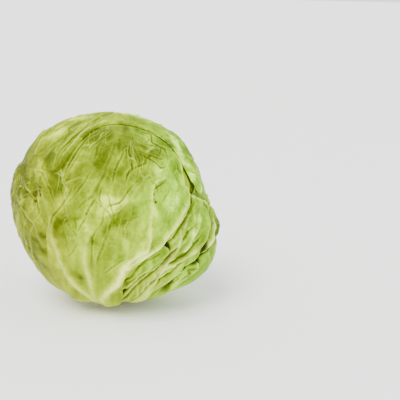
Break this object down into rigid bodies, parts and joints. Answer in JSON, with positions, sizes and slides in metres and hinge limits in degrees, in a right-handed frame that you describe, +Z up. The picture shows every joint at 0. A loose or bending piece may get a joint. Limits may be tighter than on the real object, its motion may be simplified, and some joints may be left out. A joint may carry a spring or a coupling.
{
  "type": "cabbage",
  "caption": "Whole round green cabbage: a dense heart on a short cut stem, wrapped in large ribbed outer leaves, with looser leaf lobes low on one side.",
  "frame": {"origin": "centre of the stem's cut face, on the surface that the head stands on", "axes": "+Z up along the growth axis; -Y is the side seen first, where the large front leaf is; +X is the side with the loose leaf lobes"},
  "size_m": [0.1906, 0.178, 0.1806],
  "materials": {
    "outer_leaf": "waxy satin leaf, mottled yellow-green with pale ribs",
    "heart_leaf": "waxy satin leaf, pale green",
    "cut_stem": "matt, freshly cut, fibrous"
  },
  "bodies": {
    "root": {"stem": "cut_stem", "heart": "heart_leaf", "leaf_back": "outer_leaf", "leaf_left": "outer_leaf", "leaf_right_outer": "outer_leaf", "leaf_right_low": "outer_leaf", "leaf_right_lobe": "outer_leaf", "leaf_right_mid": "outer_leaf", "leaf_front_under": "outer_leaf", "leaf_front": "outer_leaf", "leaf_over_crown": "outer_leaf"}
  },
  "joints": []
}
